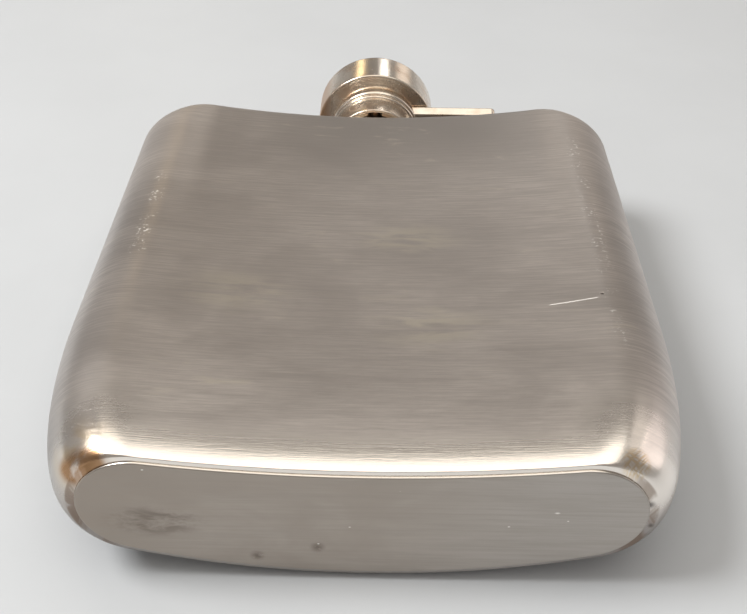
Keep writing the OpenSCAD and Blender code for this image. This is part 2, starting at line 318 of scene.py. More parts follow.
def satin_silver(finish):
    """Brushed silver plate of the body: worn crests with white specks, partly painted glints; a brighter
    polished foot, partly painted highlight; tarnish at the rim; painted shade low on the body and towards
    the shoulder.
    """
    made = Finish("satin_silver_plate", Metallic=1.0)
    place = made.place()
    x, y, z = place
    brush = made.noise(made.lay((85, 2300, 300)), detail=4.0, roughness=0.7)
    fine = made.noise(made.lay((260, 6000, 900), (3.1, 1.7, 0.0)), detail=2.0)
    cloud = made.noise(made.lay((38, 70, 20), (0.4, 2.2, 0.0)), detail=4.0, distortion=0.8)
    patch = made.noise(made.lay((110, 420, 40), (5.0, 0.3, 0.0)), detail=5.0, distortion=0.5)
    speck = made.noise(made.lay((1500, 2300, 900)), detail=2.0)
    film = made.noise(made.lay((260, 260, 260), (1.0, 4.0, 0.0)), detail=4.0)
    smear = made.noise(made.lay((32, 460, 60), (0.0, 8.0, 0.0)), detail=4.0, distortion=0.6)
    rubbed = patch.between(0.56, 0.74) * cloud.between(0.48, 0.64) * 0.6
    for spot in ((9, -30), (-20, -23), (6, -8)):
        worn = near((x * 0.6, y, z), (spot[0] * 0.6 * MM, spot[1] * MM, 22 * MM), 7 * MM)
        rubbed = rubbed.highest(worn * patch.between(0.38, 0.62))

    # Handling polishes the foot's roundings and the crest of each side. The foot's band is also painted near
    # white, partly polish and partly painted highlight, and the white specks on the crests are partly wear
    # and partly painted glints.
    foot = y.between(RIM_Y + 6.5 * MM, RIM_Y + 2.5 * MM) * z.between(12 * MM, 18 * MM)
    crest = abs(abs(x) - 35.4 * MM).between(1.7 * MM, 0.4 * MM) * z.between(23.1 * MM, 23.8 * MM)
    wear_and_glints_left = x.between(0.0, -10 * MM) * y.between(-19 * MM, -15 * MM) * y.between(9 * MM, 5 * MM)
    wear_and_glints_right = x.between(0.0, 10 * MM) * y.between(-38 * MM, -33 * MM) * y.between(24 * MM, 18 * MM)
    # White specks on the worn crests, partly wear and partly painted glints of the lamps
    marks = crest * speck.between(0.56, 0.64) * film.between(0.46, 0.58) * (wear_and_glints_left + wear_and_glints_right * 0.7)
    scratch = along_line((x, y), (26.1 * MM, PLATE_Y + 31.3 * MM), (33.6 * MM, PLATE_Y + 32.1 * MM),
                         0.13 * MM) * z.between(20 * MM, 21 * MM)
    pit = near(place, (34.1 * MM, PLATE_Y + 32.9 * MM, 24.1 * MM), 0.42 * MM)

    # Knocks have burnished the two corners of the foot with fine scratches that cross each other. The
    # corners are also painted lighter, partly burnish and partly painted highlight.
    corners = [near(place, (side * 34 * MM, RIM_Y + 5.5 * MM, 21 * MM), 11 * MM) for side in (-1, 1)]
    corner = corners[0].highest(corners[1])
    fans = [made.noise(made.scaled_place((420, 4600, 420), turn), detail=3.0, roughness=0.7)
            for turn in (28, -47)]
    hatch = fans[0].between(0.55, 0.7).highest(fans[1].between(0.57, 0.72)) * corner.between(0.3, 0.8)

    # Tarnish gathers where the base plate's rim meets the corners, golden at its fringe
    low = y.between(RIM_Y + 2.6 * MM, RIM_Y + 0.9 * MM)
    left = near(place, (-35 * MM, RIM_Y + 0.4 * MM, 20.8 * MM), 5.6 * MM).between(0.05, 0.5)
    halo = near(place, (-35 * MM, RIM_Y + 1.6 * MM, 20.8 * MM), 6.5 * MM) * film.between(0.36, 0.6)
    right = near(place, (33.8 * MM, RIM_Y + 0.9 * MM, 21.8 * MM), 3.2 * MM).between(0.1, 0.6)
    gold = halo.highest(right * fans[1].between(0.46, 0.58).highest(fans[0].between(0.5, 0.62)))
    brown = left * low * film.between(0.2, 0.46) * 0.9
    # A dark patch beside the left corner of the foot, partly tarnish, and painted shade along the lower
    # sides
    low_side_shade_and_tarnish = near((x, y * 0.6, z), (-41 * MM, (RIM_Y + 5 * MM) * 0.6, 16 * MM), 10 * MM)
    low_side_shade_and_tarnish = low_side_shade_and_tarnish.highest(z.between(16 * MM, 9 * MM) * 0.9) * abs(x).between(20 * MM, 34 * MM)
    rim = y.between(RIM_Y + 0.14 * MM, RIM_Y + 0.03 * MM) * abs(x).between(31 * MM, 35 * MM)
    rim = rim * film.between(0.38, 0.58) * 0.6
    spot = near(place, (36.3 * MM, RIM_Y + 0.3 * MM, 15.5 * MM), 1.0 * MM)
    spot = spot.highest(near(place, (37.0 * MM, RIM_Y + 0.3 * MM, 11.6 * MM), 0.7 * MM))

    tone = made.coated(
        shaded(finish.satin, 0.92),
        (cloud.between(0.3, 0.7), shaded(finish.satin, 1.05)),
        (brush.between(0.38, 0.64) * 0.9, shaded(finish.satin, 0.8)),
        (fine.between(0.44, 0.62) * 0.5, shaded(finish.satin, 0.76)),
        (smear.between(0.54, 0.68) * y.between(10 * MM, -40 * MM) * 0.5, shaded(finish.satin, 0.72)),
        # Painted shade: the middle of each face is darkened towards the shoulder
        (abs(x - 6 * MM).between(36 * MM, 10 * MM) * y.between(2 * MM, 31 * MM),
         shaded(finish.satin, 0.64)),
        (rubbed * 0.75, (0.86, 0.80, 0.69)),
        # Painted highlight, partly polish: the foot's band and its corners in near white
        (foot.highest(corner * 0.7), (0.97, 0.91, 0.845)),
        (hatch * 0.1, shaded(finish.bright, 0.7)),
        # Painted shade: the body is darkened towards its lower part, from 15 mm down to 7 mm above the table
        (z.between(15 * MM, 7 * MM) * 0.75, shaded(finish.satin, 0.62)),
        (low_side_shade_and_tarnish * 0.8, shaded(finish.satin, 0.42)),
        (gold * 0.6, (0.82, 0.60, 0.30)),
        (brown, tuple(finish.tarnish)),
        (rim, shaded(finish.tarnish, 0.4)),
        # White specks, partly painted glints, and the bright scratch
        (marks.highest(scratch), (0.97, 0.95, 0.92)),
        (pit.highest(spot), tuple(finish.dirt)))
    rough = 0.38 + (cloud - 0.5) * 0.14 + (brush - 0.5) * 0.14 - rubbed * 0.04
    rough = rough - (foot * 0.19).highest(corner * 0.2) + hatch * 0.05 - marks * 0.1 + brown * 0.1
    rough = rough + y.between(-10 * MM, 20 * MM) * abs(x).between(28 * MM, 32 * MM) * 0.12
    relief = brush * 0.7 + fine * 0.5 + hatch * 0.08 - (scratch + pit * 4.0) * 1.6
    return made.finish(tone, rough, relief, 0.016 * MM, marks.highest(scratch) * 0.55)


def plate_silver():
    """Satin base plate with fine lines across it, smudges and small bright nicks."""
    made = Finish("satin_base_plate", Metallic=1.0)
    place = made.place()
    x, y, z = place
    brush = made.noise(made.lay((70, 2400, 2400)), detail=4.0, roughness=0.7)
    cloud = made.noise(made.lay((60, 110, 110), (2.0, 0.0, 0.0)), detail=3.0, distortion=0.6)
    grime = made.noise(made.lay((520, 900, 900), (7.0, 0.0, 0.0)), detail=6.0, roughness=0.75)
    wiped = made.noise(made.lay((190, 620, 620), (1.3, 4.0, 0.0)), detail=4.0, roughness=0.65,
                       distortion=0.4)
    smudge = near((x, y, z * 2.3), (-26.6 * MM, PLATE_Y, 11.0 * 2.3 * MM), 10 * MM).between(0.05, 0.8)
    smudge = (smudge * wiped.between(0.42, 0.64)).highest(smudge * grime.between(0.4, 0.62) * 0.6) * 0.75
    for spot in ((-13.7, 4.6), (-5.7, 6.5)):
        smudge = smudge.highest(near(place, (spot[0] * MM, PLATE_Y, spot[1] * MM), 1.3 * MM)
                                * grime.between(0.36, 0.5))
    nick = made.cells(made.lay((330, 520, 520))).between(0.07, 0.035)
    nick = nick * made.noise(made.lay((120, 120, 120), (0, 9.0, 0))).between(0.52, 0.6)
    nick = nick.highest(near((x, y, z * 2.0), (24.8 * MM, PLATE_Y, 14 * 2.0 * MM), 0.5 * MM))
    # Painted highlight: the plate's eased edge is painted near white
    bevel = y.between(PLATE_Y + 0.05 * MM, PLATE_Y + 0.16 * MM)
    tone = made.coated(
        (0.40, 0.35, 0.305),
        (cloud.between(0.3, 0.7), (0.475, 0.425, 0.38)),
        (x.between(-5 * MM, 35 * MM) * 0.7, (0.49, 0.465, 0.44)),
        (x.between(-16 * MM, -34 * MM) * 0.7, (0.345, 0.295, 0.25)),
        (brush.between(0.35, 0.68) * 0.5, (0.38, 0.34, 0.30)),
        (smudge * 0.7, (0.17, 0.14, 0.115)),
        (nick, (0.96, 0.94, 0.90)),
        (bevel * 0.8, (0.94, 0.90, 0.85)))
    rough = 0.40 + (cloud - 0.5) * 0.12 + (brush - 0.5) * 0.12 + smudge * 0.1 - bevel * 0.15
    return made.finish(tone, rough, brush - nick * 2.0, 0.008 * MM, nick * 0.8)


def bright_silver(name, colour, finish, polish, grime):
    """Polished turned metal: fine lines round it, a warm film with grime, and painted shade in the same
    brown down the left flank.
    """
    made = Finish(name, Metallic=1.0)
    x, y, z = made.place()
    lines = made.noise(made.lay((120, 3400, 120)), detail=3.0, roughness=0.6)
    cloud = made.noise(made.scaled_place((150, 150, 150)), detail=3.0, distortion=0.5)
    film = made.noise(made.scaled_place((260, 260, 260)), detail=2.0)
    scuff = made.noise(made.lay((900, 260, 900), (2.0, 5.0, 1.0)), detail=4.0, roughness=0.7)
    brown = film.between(0.34, 0.78) * cloud.between(0.28, 0.62) * grime
    brown = brown * (1 - y.between(CAP_HIGH.y - 3 * MM, CAP_HIGH.y - 1.6 * MM) * 0.85)
    # Painted shade: the left flank of each turned part, near the neck's axis height, is darkened in the same
    # brown
    brown = brown.highest(x.between(-7.5 * MM, -11 * MM) * z.between(7 * MM, 11 * MM) * 0.75)
    tone = made.coated(
        shaded(colour, 0.92),
        (cloud.between(0.3, 0.7), shaded(colour, 1.05)),
        (brown, shaded(finish.tarnish, 1.25)),
        (scuff.between(0.62, 0.72) * 0.35, shaded(colour, 1.18)))
    rough = polish + (cloud - 0.5) * 0.1 + scuff.between(0.58, 0.72) * 0.09 + brown * 0.15
    relief = lines * 0.6 + scuff * 0.4
    return made.finish(tone, rough, relief, 0.004 * MM)


def cork_grain(finish):
    """Pressed cork: pale granules, dark pores and a soft, pitted surface."""
    made = Finish("pressed_cork", Metallic=0.0)
    grain = made.cells(made.scaled_place((900, 900, 900)))
    pores = made.noise(made.scaled_place((1500, 1500, 1500)), detail=4.0, roughness=0.7)
    stain = made.noise(made.scaled_place((170, 170, 170)), detail=3.0)
    tone = made.coated(
        shaded(finish.cork, 0.72),
        (grain.between(0.1, 0.7), shaded(finish.cork, 1.15)),
        (pores.between(0.58, 0.7), shaded(finish.cork, 0.28)),
        (stain.between(0.5, 0.75) * 0.5, shaded(finish.cork, 0.5)))
    return made.finish(tone, 0.85 + (pores - 0.5) * 0.2, grain * 0.5 - pores.between(0.55, 0.7), 0.12 * MM)


def table_top(finish):
    """Plain pale table: a faint mottle in an even matt surface."""
    made = Finish("pale_table", Metallic=0.0)
    mottle = made.noise(made.scaled_place((26, 26, 26)), detail=4.0)
    grit = made.noise(made.scaled_place((1800, 1800, 1800)), detail=2.0)
    tone = made.mixed(mottle.between(0.3, 0.7), shaded(finish.table, 0.985), shaded(finish.table, 1.015))
    return made.finish(tone, 0.55 + (mottle - 0.5) * 0.06, grit, 0.01 * MM)


def material_named(name, context):
    """The flask's material of that name, made on first use."""
    if name in bpy.data.materials:
        return bpy.data.materials[name]
    finish = context.scene.flask_finish
    makers = {
        "satin_silver_plate": lambda: satin_silver(finish),
        "satin_base_plate": plate_silver,
        "bright_silver_plate": lambda: bright_silver(name, finish.bright, finish, 0.23, 0.5),
        "bare_nickel": lambda: bright_silver(name, finish.bare, finish, 0.27, 0.9),
        "pressed_cork": lambda: cork_grain(finish),
        "pale_table": lambda: table_top(finish),
    }
    return makers[name]()


# ---------------------------------------------------------------- mesh building

# Finish, body and slot of each piece, which has the name of the CAD node that it replaces
BRIGHT = ("bright_silver_plate", "flask", "polished_silver")
BRIGHT_CAP = ("bright_silver_plate", "cap", "polished_silver")
PIECES = {
    "front_shell": ("satin_silver_plate", "flask", "body_silver"),
    "back_shell": ("satin_silver_plate", "flask", "body_silver"),
    "base_plate": ("satin_base_plate", "flask", "plate_silver"),
    "neck_collar": BRIGHT,
    "neck_tube": BRIGHT,
    "bayonet_pins": ("bare_nickel", "flask", "hinge_metal"),
    "hinge_foot": BRIGHT,
    "hinge_ears": BRIGHT,
    "hinge_pin": ("bare_nickel", "flask", "hinge_metal"),
    "swivel_ring": ("bright_silver_plate", "arm", "polished_silver"),
    "hinge_arm": ("bright_silver_plate", "arm", "polished_silver"),
    "cap_skirt": BRIGHT_CAP,
    "cap_retaining_bead": BRIGHT_CAP,
    "cap_underplate": BRIGHT_CAP,
    "cap_shell": BRIGHT_CAP,
    "cap_bayonet_sleeve": ("bare_nickel", "cap", "hinge_metal"),
    "cap_cork": ("pressed_cork", "cap", "cork"),
    "cap_cork_backing": ("bare_nickel", "cap", "hinge_metal"),
}
# Steps round a turned piece, with the cap's drum finer and the pins coarser
TURNS = 144
DRUM_TURNS = 192
PIN_TURNS = 64
LUG_TURNS = 48


def set_lay(mesh, lay):
    """Stores where each point lies on its sheet, for the brushing to follow."""
    attribute = mesh.attributes.new("lay", "FLOAT_VECTOR", "POINT")
    attribute.data.foreach_set("vector", np.asarray(lay, dtype=np.float32).ravel())


def piece(context, name, points, faces, lay=None, sharp_deg=40.0):
    """A smooth mesh piece in the flask's frame, riding on its body in place of its CAD node."""
    mesh = bpy.data.meshes.new(name)
    mesh.from_pydata([tuple(p) for p in points], [], [tuple(f) for f in faces])
    mesh.validate()
    work = bmesh.new()
    work.from_mesh(mesh)
    bmesh.ops.recalc_face_normals(work, faces=work.faces)
    work.to_mesh(mesh)
    work.free()
    mesh.shade_smooth()
    mesh.set_sharp_from_angle(angle=math.radians(sharp_deg))
    set_lay(mesh, points if lay is None else lay)
    made = bpy.data.objects.new(name, mesh)
    context.scene.collection.objects.link(made)
    return dressed(context, made, name)


def coat(context, made, name):
    """Leaves only the piece's own material on it."""
    made.data.materials.clear()
    made.data.materials.append(material_named(PIECES[name][0], context))


def dressed(context, made, node):
    """Gives a mesh object its material, its body and the CAD node that it stands for."""
    _, body, slot = PIECES[node]
    coat(context, made, node)
    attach(made, body)
    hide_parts(node)
    return made


def apply_modifiers(made):
    """Bakes an object's modifiers into its mesh."""
    graph = bpy.context.evaluated_depsgraph_get()
    graph.update()
    solid = bpy.data.meshes.new_from_object(made.evaluated_get(graph))
    made.modifiers.clear()
    made.data = solid


def softened(corners, closed=True, steps=5):
    """An outline of (r, h, rounding) corners as points, with support points beside each rounding."""
    count = len(corners)
    points = []
    for i, (r, h, rounding) in enumerate(corners):
        here = Vector((r, h))
        if rounding <= 0 or (not closed and i in (0, count - 1)):
            points.append(here)
            continue
        back = Vector(corners[i - 1][:2]) - here
        on = Vector(corners[(i + 1) % count][:2]) - here
        half = back.angle(on) / 2
        reach = min(rounding / math.tan(half), 0.42 * back.length, 0.42 * on.length)
        radius = reach * math.tan(half)
        back.normalize()
        on.normalize()
        centre = here + (back + on).normalized() * (radius / math.sin(half))
        first, last = here + back * reach - centre, here + on * reach - centre
        turn = first.angle(last)
        points.append(here + back * reach * 1.12)
        for k in range(steps + 1):
            t = k / steps
            blend = (first * math.sin((1 - t) * turn) + last * math.sin(t * turn)) / math.sin(turn)
            points.append(centre + blend)
        points.append(here + on * reach * 1.12)
    return points


def turned_mesh(profile, closed, turns=TURNS):
    """Points, faces and lay of a profile of (r, h) turned about the local Z axis."""
    points, lay, rings = [], [], []
    run = 0.0
    for i, p in enumerate(profile):
        run += (p - profile[i - 1]).length if i else 0.0
        if p.x < 1e-7:
            rings.append([len(points)])
            points.append(Vector((0, 0, p.y)))
            lay.append((0, run, 0))
            continue
        rings.append(range(len(points), len(points) + turns))
        for k in range(turns):
            angle = 2 * math.pi * k / turns
            points.append(Vector((p.x * math.cos(angle), p.x * math.sin(angle), p.y)))
            lay.append((p.x * math.sin(angle), run, p.x * math.cos(angle)))
    faces = []
    for i in range(len(rings) if closed else len(rings) - 1):
        a, b = rings[i], rings[(i + 1) % len(rings)]
        if len(a) == len(b) == 1:
            continue
        for k in range(turns):
            n = (k + 1) % turns
            if len(a) == 1:
                faces.append((a[0], b[n], b[k]))
            elif len(b) == 1:
                faces.append((a[k], a[n], b[0]))
            else:
                faces.append((a[k], a[n], b[n], b[k]))
    return points, faces, lay


def turned(context, name, corners, frame_matrix=NECK_FRAME, closed=True, turns=TURNS):
    """A turned piece about the neck's axis, or about another given frame's Z."""
    points, faces, lay = turned_mesh(softened(corners, closed), closed, turns)
    return piece(context, name, [frame_matrix @ p for p in points], faces, lay)


def loft_faces(rings, count):
    """Faces through rings of count points that follow each other, closed at both ends."""
    last = (rings - 1) * count
    faces = [(start + i, start + (i + 1) % count, start + count + (i + 1) % count, start + count + i)
             for start in range(0, last, count) for i in range(count)]
    return faces + [tuple(reversed(range(count))), tuple(range(last, last + count))]


def loose(context, points, faces):
    """A plain object for cutting or joining."""
    mesh = bpy.data.meshes.new("tool")
    mesh.from_pydata([tuple(p) for p in points], [], faces)
    made = bpy.data.objects.new("tool", mesh)
    context.scene.collection.objects.link(made)
    return made


def loose_prism(context, outline, low, high):
    """An upright prism of an (x, y) outline between two heights."""
    points = [(x, y, h) for h in (low, high) for x, y in outline]
    return loose(context, points, loft_faces(2, len(outline)))


def quarter_round(radius, steps):
    """(aside, up) points of a hollow quarter round, from its foot out at one side to its top."""
    return [(radius * (1 - math.sin(t)), radius * (1 - math.cos(t)))
            for t in np.linspace(0, math.pi / 2, steps)]


def combined(made, others, operation):
    """Joins or cuts an object with others, which are used up."""
    for other in others:
        change = made.modifiers.new("change", "BOOLEAN")
        change.operation = operation
        change.solver = "EXACT"
        change.object = other
    apply_modifiers(made)
    for other in others:
        bpy.data.objects.remove(other)


def eased_edges(made, width, angle_deg=30.0, steps=3):
    """Rounds an object's hard edges and stores where its points lie."""
    bevel = made.modifiers.new("edges", "BEVEL")
    bevel.width = width
    bevel.segments = steps
    bevel.limit_method = "ANGLE"
    bevel.angle_limit = math.radians(angle_deg)
    bevel.harden_normals = True
    made.data.shade_smooth()
    apply_modifiers(made)
    if "lay" in made.data.attributes:
        made.data.attributes.remove(made.data.attributes["lay"])
    set_lay(made.data, [v.co for v in made.data.vertices])


def circle_outline(radius, centre=(0.0, 0.0), steps=48, from_deg=0.0, to_deg=360.0):
    """Points round a circle, or along an arc with both its ends."""
    whole = abs(to_deg - from_deg) >= 360
    count = steps if whole else steps + 1
    angles = [math.radians(from_deg + (to_deg - from_deg) * k / steps) for k in range(count)]
    return [(centre[0] + radius * math.cos(a), centre[1] + radius * math.sin(a)) for a in angles]


def placed(node):
    """A turned CAD node's outer radius and its low and high ends above the shoulder."""
    low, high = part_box(node)
    return (high.x - low.x) / 2, low.y - SHOULDER_Y, high.y - SHOULDER_Y


# ---------------------------------------------------------------- the body's curves

# Steps across a face and round a side's end, and how far the crests sit below their true line
FACE_STEPS = 88
END_STEPS = 26
CREST_SETTLE = 0.045 * MM


def end_circle(sizes, half_width, thickness):
    """Radius, x and height of the circle that closes a kidney section at each side."""
    front, back = sizes.front_radius, sizes.back_radius
    gap = thickness + back - front
    p = (thickness ** 2 + 2 * thickness * back) / (2 * gap)
    q = (front + back) / gap
    b = 2 * (front - half_width - (p - front) * q)
    c = half_width ** 2 + (p - front) ** 2 - front ** 2
    radius = (-b + math.sqrt(b * b - 4 * q * q * c)) / (2 * q * q)
    return radius, half_width - radius, p - q * radius


def half_section(sizes, half_width, face_in, inset, upper):
    """(x, z) points of half a kidney section, from its widest point on one side to the other."""
    low, high = face_in, sizes.thickness - face_in
    radius, cx, cz = end_circle(sizes, half_width, high - low)
    cz += low
    face_c = high + sizes.back_radius if upper else low + sizes.front_radius
    face_r = sizes.back_radius + inset if upper else sizes.front_radius - inset
    touch = math.atan2(face_c - cz, -cx) if upper else math.atan2(cz - face_c, cx)
    end_angles = np.linspace(0.0, touch, END_STEPS, endpoint=False)
    end_r = radius - inset
    right = np.stack([cx + end_r * np.cos(end_angles), cz + end_r * np.sin(end_angles)], 1)
    start = touch - math.pi if upper else touch
    face_angles = np.linspace(start, -math.pi - start, FACE_STEPS + 1)
    face = np.stack([face_r * np.cos(face_angles), face_c + face_r * np.sin(face_angles)], 1)
    left = right[::-1] * (-1, 1)
    return np.concatenate([right, face, left])


def foot_rows(sizes, count):
    """Rows up the foot as (distance from the rim, half width, face inset)."""
    rows = []
    for turn in np.linspace(0, math.pi / 2, count):
        y = sizes.foot_length * (1 - math.cos(turn))
        v = min(1.0, 2 * y / sizes.foot_length)
        rows.append((y, HALF_WIDTH - sizes.foot_side * (1 - math.sin(turn)),
                     sizes.foot_face * (1 - math.sqrt(1 - (1 - v) ** 2))))
    return rows


def shoulder_rows(sizes, count):
    """Rows round the shoulder, the last one on its flat."""
    rows = []
    for turn in np.linspace(0, math.pi / 2, count):
        back = sizes.corner * (1 - math.sin(turn))
        v = max(0.0, 1 - back / sizes.edge)
        rows.append((SHOULDER_Y - RIM_Y - back, HALF_WIDTH - sizes.corner * (1 - math.cos(turn)),
                     sizes.edge * (1 - math.sqrt(1 - v * v))))
    return rows


def body_rows(sizes, foot_count):
    """All rows from the rim to the shoulder's flat."""
    foot, shoulder = foot_rows(sizes, foot_count), shoulder_rows(sizes, 26)
    middle = np.linspace(foot[-1][0], shoulder[0][0], 34)[1:-1]
    return foot + [(y, HALF_WIDTH, 0.0) for y in middle] + shoulder


def shell_surface(sizes, rows, inset, upper):
    """Grid of points of one side of a half shell: rows up the flask, columns across it."""
    span = SHOULDER_Y - RIM_Y
    squeeze = (span - 2 * inset) / span
    grid = []
    for y, half_width, face_in in rows:
        section = half_section(sizes, half_width, face_in, inset, upper)
        level = np.full((len(section), 1), RIM_Y + inset + y * squeeze)
        grid.append(np.concatenate([section[:, :1], level, section[:, 1:]], 1))
    return np.array(grid)


def waved(grid, depth, upper):
    """Shallow unevenness of old sheet metal, fading out at the seam, the rim and the shoulder."""
    x, y = grid[:, :, 0], grid[:, :, 1]
    columns = np.linspace(0, 1, grid.shape[1])[None, :]
    rows = ((y - RIM_Y) / (SHOULDER_Y - RIM_Y)).clip(0, 1)
    fade = np.sin(np.pi * columns) ** 0.5 * np.clip(4 * rows, 0, 1) * np.clip(5 * (1 - rows), 0, 1)
    wave = (np.sin(x * 148 + y * 61 + 0.7) * np.sin(y * 117 - x * 38 + 2.1)
            + 0.6 * np.sin(x * 262 - y * 197 + 4.0) * np.sin(y * 241 + x * 90))
    moved = grid.copy()
    moved[:, :, 2] += (-1 if upper else 1) * depth * fade * (1.6 + wave) / 2
    return moved


def grid_lay(grid):
    """(across, along, 0) of each grid point, measured over the surface."""
    across = np.zeros(grid.shape[:2])
    along = np.zeros(grid.shape[:2])
    across[:, 1:] = np.cumsum(np.linalg.norm(np.diff(grid, axis=1), axis=2), axis=1)
    along[1:, :] = np.cumsum(np.linalg.norm(np.diff(grid, axis=0), axis=2), axis=0)
    across -= across[:, -1:] / 2
    return np.stack([across, along, np.zeros_like(across)], 2)


def half_shell(context, name, upper):
    """One pressed half of the body, with its wall, its seam edge, the rim and half the neck's hole."""
    sizes = context.scene.flask_body
    inner_rows = body_rows(sizes, 24)
    outer = waved(shell_surface(sizes, body_rows(sizes, 26), 0.0, upper), sizes.dents, upper)
    if upper:
        outer[:, :, 2] -= CREST_SETTLE * (outer[:, :, 2] / CAD_BOX[1][2]) ** 6
    seam_nick = 0.05 * MM
    outer[:, 0, 0] -= seam_nick
    outer[:, -1, 0] += seam_nick
    inner = shell_surface(sizes, inner_rows, sizes.sheet, upper)
    rim = half_section(sizes, inner_rows[0][1], inner_rows[0][2], sizes.rim, upper)
    opening = [np.stack([rim[:, 0], np.full(len(rim), y), rim[:, 1]], 1)
               for y in (RIM_Y, RIM_Y + 0.9 * sizes.sheet)]
    inner = np.concatenate([np.array(opening), inner])

    rows, columns = outer.shape[:2]
    points = np.concatenate([outer.reshape(-1, 3), inner.reshape(-1, 3)]).tolist()
    lay = np.concatenate([grid_lay(outer).reshape(-1, 3), grid_lay(inner).reshape(-1, 3)]).tolist()
    first_inner = rows * columns
    faces = []
    for base in (0, first_inner):
        for j in range(rows - 1):
            start = base + j * columns
            faces += [(start + i, start + i + 1, start + columns + i + 1, start + columns + i)
                      for i in range(columns - 1)]
    faces += [(i, i + 1, first_inner + i + 1, first_inner + i) for i in range(columns - 1)]
    for column in (0, columns - 1):
        for j in range(rows - 1):
            a, b = j * columns + column, (j + 1) * columns + column
            faces.append((a, b, first_inner + b, first_inner + a))

    # The shoulder: a flat band inside the rounding, then the flat face cut by the neck's hole
    seam_z = outer[-1, 0, 2]
    clearance, band_width = 0.1 * MM, 0.3 * MM
    hole_r = (NECK_HIGH.x - NECK_LOW.x) / 2 + clearance
    lift = math.asin((seam_z - NECK_Z) / hole_r)
    ends = (math.pi - lift, lift) if upper else (-math.pi - lift, lift)
    hole = [(hole_r * math.cos(a), NECK_Z + hole_r * math.sin(a)) for a in np.linspace(*ends, 65)]
    _, end_width, end_face_in = inner_rows[-1]
    loops = []
    for grid_base, deep in ((0, 0.0), (first_inner, sizes.sheet)):
        band = half_section(sizes, end_width, end_face_in, deep + band_width, upper)
        y = SHOULDER_Y - deep
        start = len(points)
        ring = [(x, y, z) for x, z in band] + [(x, y, z) for x, z in hole]
        points += ring
        lay += [(x, z, y) for x, _, z in ring]
        edge_start = grid_base + (rows - 1) * columns
        faces += [(edge_start + i, edge_start + i + 1, start + i + 1, start + i)
                  for i in range(columns - 1)]
        order = list(range(start, start + len(ring)))
        faces.append(tuple(order))
        loops.append([edge_start + columns - 1] + order[columns - 1:] + [order[0], edge_start])
    faces += [(a, b, d, c) for a, b, c, d in zip(loops[0], loops[0][1:], loops[1], loops[1][1:])]
    return piece(context, name, points, faces, lay)


def base_plate(context):
    """The kidney plate: flat face, eased front edge, plain back."""
    sizes = context.scene.flask_body
    _, half_width, face_in = foot_rows(sizes, 4)[0]
    edge, clear = sizes.plate_edge, sizes.rim + 0.03 * MM
    depth = PLATE_HIGH.y - PLATE_Y
    steps = [(clear + edge * 3, 0.0), (clear + edge * 1.4, 0.0)]
    steps += [(clear + aside, up) for aside, up in quarter_round(edge, 6)]
    steps += [(clear, edge * 1.3), (clear, depth - 0.1 * MM), (clear + 0.1 * MM, depth),
              (clear + 1 * MM, depth)]
    loops = []
    for inset, y in steps:
        upper = half_section(sizes, half_width, face_in, inset, True)
        lower = half_section(sizes, half_width, face_in, inset, False)[::-1]
        outline = np.concatenate([upper[:-1], lower[:-1]])
        loops.append([(x, PLATE_Y + y, z) for x, z in outline])
    points = [p for loop in loops for p in loop]
    return piece(context, "base_plate", points, loft_faces(len(loops), len(loops[0])))


# ---------------------------------------------------------------- operators

class FlaskOperator:
    """Shared by the operators that build the flask"""
    bl_options = {"REGISTER", "UNDO"}


class FLASK_OT_shells(FlaskOperator, bpy.types.Operator):
    """Build the convex and the concave half of the body"""
    bl_idname = "flask.shells"
    bl_label = "Body shells"

    def execute(self, context):
        half_shell(context, "front_shell", False)
        half_shell(context, "back_shell", True)
        return {"FINISHED"}


class FLASK_OT_base_plate(FlaskOperator, bpy.types.Operator):
    """Build the kidney plate that closes the base"""
    bl_idname = "flask.base_plate"
    bl_label = "Base plate"

    def execute(self, context):
        base_plate(context)
        return {"FINISHED"}


class FLASK_OT_neck(FlaskOperator, bpy.types.Operator):
    """Build the neck tube with its lip, the collar and the two bayonet pins"""
    bl_idname = "flask.neck"
    bl_label = "Neck"

    def execute(self, context):
        sizes = context.scene.flask_neck
        r, low, high = placed("neck_collar")
        bore, spigot, lip = placed("neck_tube")
        fillet = sizes.collar_fillet
        flare = [(r + aside, up, 0) for aside, up in quarter_round(fillet, 5)]
        chamfer = 0.25 * MM
        turned(context, "neck_collar", [(bore, low, 0), *flare, (r, high, 0.38 * MM),
                                        (bore + chamfer, high, 0), (bore, high + chamfer, 0)])
        mouth = sizes.mouth
        lip_round = (bore - mouth) * 0.55
        turned(context, "neck_tube", [(mouth, spigot, 0.1 * MM), (bore, spigot, 0.1 * MM),
                                      (bore, lip, lip_round), (mouth, lip, lip_round)])
        self.pins(context, sizes, mouth)
        return {"FINISHED"}

    def pins(self, context, sizes, mouth):
        low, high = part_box("bayonet_pins")
        reach = (high.z - low.z) / 2
        root = mouth + 0.3 * MM
        profile = softened([(0, root, 0), (sizes.lug, root, 0), (sizes.lug, reach, 0.2 * MM), (0, reach, 0)],
                           closed=False)
        lug_points, lug_faces, lug_lay = turned_mesh(profile, False, LUG_TURNS)
        centre = Matrix.Translation((0, SHOULDER_Y + sizes.lug_height, NECK_Z))
        points, faces = [], []
        for turn in (0, math.pi):
            pin_frame = centre @ Matrix.Rotation(turn, 4, "X")
            faces += [tuple(i + len(points) for i in face) for face in lug_faces]
            points += [pin_frame @ p for p in lug_points]
        piece(context, "bayonet_pins", points, faces, lug_lay * 2)


